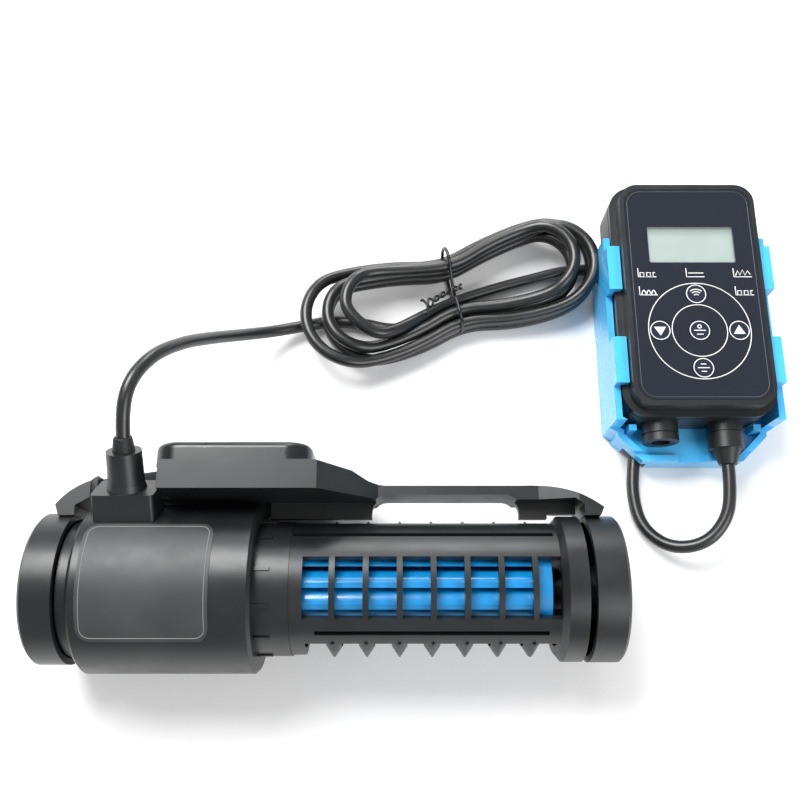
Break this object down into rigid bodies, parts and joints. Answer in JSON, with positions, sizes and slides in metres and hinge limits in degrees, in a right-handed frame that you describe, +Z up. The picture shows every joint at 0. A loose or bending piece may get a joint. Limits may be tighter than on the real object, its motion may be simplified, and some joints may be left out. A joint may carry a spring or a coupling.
{
  "type": "wave maker pump",
  "caption": "Cross-flow aquarium wave pump in a magnetic clamp bracket, with a tied hank of cord and a keypad controller sitting in a blue wall holder.",
  "frame": {"origin": "middle of the bracket seat's side face, the face that the pump lies on", "axes": "+X along the pump's axis from its motor end to its strainer end; +Y from the pump through the bracket's seat to the dry magnet; +Z up from the table as the set lies"},
  "size_m": [0.2428, 0.1699, 0.0605],
  "materials": {
    "black_plastic": "fine satin, injection moulded",
    "cage_plastic": "satin",
    "blue_impeller": "glossy blue moulding",
    "blue_holder": "glossy, slightly clear blue moulding",
    "panel_gloss": "high gloss, near black",
    "key_film": "gloss, near black with pale print",
    "label_film": "dark grey satin film, left blank",
    "soft_rubber": "matt black",
    "cord_black": "satin black jacket",
    "tie_black": "thin black coated wire",
    "core_steel": "stacked laminations",
    "coil_copper": "enamelled copper wire",
    "board_green": "solder mask",
    "bearing_black": "plain bearing plastic",
    "magnet_grey": "coated sintered magnet",
    "shaft_steel": "ground",
    "washer_white": "low-friction plastic",
    "lcd_clear": "clear window",
    "lcd_grey": "blank liquid-crystal display",
    "switch_metal": "stamped",
    "screw_steel": "plain"
  },
  "bodies": {
    "root": {"bracket": "black_plastic", "pivot_pins": "black_plastic", "wet_magnets": "magnet_grey", "wet_pad": "soft_rubber", "wall_holder": "blue_holder", "cord_lead": "cord_black", "cord_hank": "cord_black", "cord_tail": "cord_black", "twist_tie": "tie_black", "cord_plug": "black_plastic"},
    "barrel": {"motor_housing": "black_plastic", "motor_end_cap": "black_plastic", "end_cap_seal": "soft_rubber", "can_seal": "soft_rubber", "drive_board": "board_green", "stator_core": "core_steel", "stator_coils": "coil_copper", "rotor_can": "bearing_black", "motor_bearings": "bearing_black", "strainer_cage": "cage_plastic", "end_plate": "cage_plastic", "end_bearing": "bearing_black", "cord_gland": "black_plastic", "label": "label_film"},
    "rotor": {"rotor_magnet": "magnet_grey", "shaft": "shaft_steel", "impeller": "blue_impeller", "thrust_washers": "washer_white"},
    "dry_magnet": {"dry_pad": "soft_rubber", "dry_magnet_case": "black_plastic", "dry_magnets": "magnet_grey"},
    "controller": {"back_shell": "black_plastic", "front_shell": "black_plastic", "gasket": "soft_rubber", "face_panel": "panel_gloss", "lcd_window": "lcd_clear", "lcd_module": "lcd_grey", "circuit_board": "board_green", "tact_switches": "switch_metal", "dc_inlet": "black_plastic", "pump_socket": "black_plastic", "case_screws": "screw_steel"},
    "key_top": {"key_top": "key_film"},
    "key_left": {"key_left": "key_film"},
    "key_right": {"key_right": "key_film"},
    "key_bottom": {"key_bottom": "key_film"},
    "key_middle": {"key_middle": "key_film"}
  },
  "joints": [
    {"name": "barrel_swivel", "type": "hinge", "parent": "root", "child": "barrel", "pos_m": [0.0305, -0.0314, 0.026], "axis": [1, 0, 0], "range_deg": [0, 90], "deforming": ["cord_lead"]},
    {"name": "rotor_spin", "type": "hinge", "parent": "barrel", "child": "rotor", "pos_m": [0.0305, -0.0314, 0.026], "axis": [1, 0, 0], "continuous": true},
    {"name": "dry_magnet_pull", "type": "slide", "parent": "root", "child": "dry_magnet", "axis": [0, 1, 0], "range_m": [0, 0.012]},
    {"name": "controller_slide", "type": "slide", "parent": "root", "child": "controller", "axis": [0, 1, 0], "range_m": [0, 0.085]},
    {"name": "key_top_press", "type": "slide", "parent": "controller", "child": "key_top", "axis": [0, 0, -1], "range_m": [0, 0.0004], "stiffness_N_per_m": 2000},
    {"name": "key_left_press", "type": "slide", "parent": "controller", "child": "key_left", "axis": [0, 0, -1], "range_m": [0, 0.0004], "stiffness_N_per_m": 2000},
    {"name": "key_right_press", "type": "slide", "parent": "controller", "child": "key_right", "axis": [0, 0, -1], "range_m": [0, 0.0004], "stiffness_N_per_m": 2000},
    {"name": "key_bottom_press", "type": "slide", "parent": "controller", "child": "key_bottom", "axis": [0, 0, -1], "range_m": [0, 0.0004], "stiffness_N_per_m": 2000},
    {"name": "key_middle_press", "type": "slide", "parent": "controller", "child": "key_middle", "axis": [0, 0, -1], "range_m": [0, 0.0004], "stiffness_N_per_m": 2000}
  ]
}
